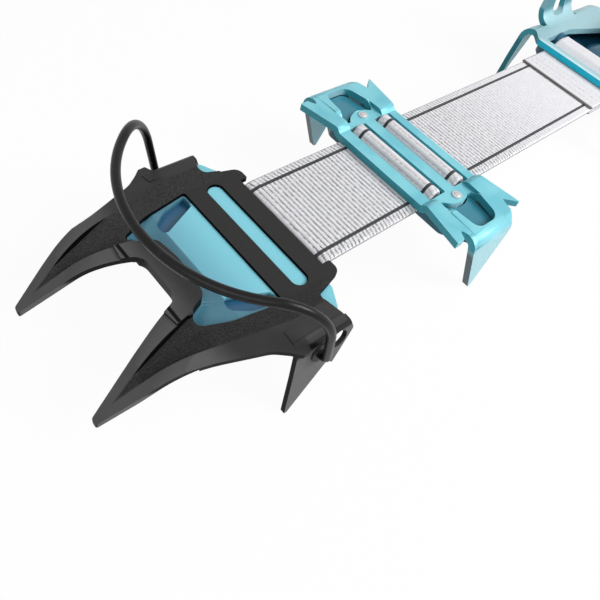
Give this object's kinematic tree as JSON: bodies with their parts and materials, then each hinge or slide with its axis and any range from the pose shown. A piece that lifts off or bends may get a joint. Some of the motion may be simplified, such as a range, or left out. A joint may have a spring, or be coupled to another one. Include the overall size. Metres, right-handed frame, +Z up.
{
  "type": "mountaineering crampon",
  "caption": "Strap-linked crampon: black steel toe section with wire bail, blue alloy middle plate and heel section with lever bail, joined by striped webbing.",
  "frame": {"origin": "middle of the length and width, on the ground that the points stand on", "axes": "+X to the toe, +Y to the wearer's left, +Z up"},
  "size_m": [0.396, 0.1024, 0.0558],
  "materials": {
    "black_steel": "fine matte texture on the deck, smoother satin rims",
    "black_wire": "satin black",
    "black_nylon": "matte",
    "pale_blue_plate": "translucent moulded elastomer",
    "webbing": "woven, two dark lines",
    "plain_webbing": "plain woven",
    "blue_alloy": "satin anodised",
    "teal_plate": "translucent moulded elastomer",
    "navy_plate": "translucent moulded elastomer",
    "bright_rivet": "polished head",
    "plain_steel": "turned",
    "black_lever": "satin black anodised"
  },
  "bodies": {
    "toe_section": {"front_frame": "black_steel", "front_guard": "pale_blue_plate", "toe_rod": "plain_steel", "bail_bushes": "black_nylon", "front_strap": "webbing"},
    "middle_section": {"mid_strap": "webbing", "mid_plate": "blue_alloy", "mid_guard": "teal_plate", "mid_rivets": "bright_rivet", "rivet_washers": "plain_steel"},
    "heel_section": {"rear_strap": "webbing", "heel_loop": "plain_webbing", "heel_frame": "blue_alloy", "heel_guard": "navy_plate", "heel_rod": "plain_steel", "guard_rivets": "bright_rivet"},
    "toe_bail": {"toe_bail": "black_wire"},
    "heel_bail": {"heel_bail": "plain_steel"},
    "adjust_block": {"adjust_block": "plain_steel"},
    "heel_lever": {"heel_lever": "black_lever"},
    "adjuster": {"adjust_screw": "plain_steel", "thumb_wheel": "blue_alloy", "wheel_pin": "plain_steel"}
  },
  "joints": [
    {"name": "toe_fold", "type": "hinge", "parent": "middle_section", "child": "toe_section", "pos_m": [0.08915, 0, 0.0279], "axis": [0, -1, 0], "range_deg": [-80, 75]},
    {"name": "heel_fold", "type": "hinge", "parent": "middle_section", "child": "heel_section", "pos_m": [-0.02885, 0, 0.0279], "axis": [0, 1, 0], "range_deg": [-80, 75]},
    {"name": "toe_bail_swing", "type": "hinge", "parent": "toe_section", "child": "toe_bail", "pos_m": [0.13115, 0, 0.0212], "axis": [0, 1, 0], "range_deg": [-115, 26]},
    {"name": "heel_bail_swing", "type": "hinge", "parent": "heel_section", "child": "heel_bail", "pos_m": [-0.13135, 0, 0.0493], "axis": [0, 1, 0], "range_deg": [0, 110]},
    {"name": "lever_swing", "type": "hinge", "parent": "heel_bail", "child": "adjust_block", "pos_m": [-0.18835, 0, 0.03865], "axis": [0, -1, 0], "range_deg": [0, 170]},
    {"name": "lever_slide", "type": "slide", "parent": "adjust_block", "child": "heel_lever", "axis": [1, 0, 0], "range_m": [-0.002, 0.002]},
    {"name": "thumb_wheel_turn", "type": "hinge", "parent": "heel_lever", "child": "adjuster", "pos_m": [-0.16535, 0, 0.03865], "axis": [1, 0, 0], "range_deg": [-1029, 1029]}
  ],
  "couplings": [
    {"joint": "thumb_wheel_turn", "follows": "lever_slide", "rad_per_m": 8976}
  ]
}
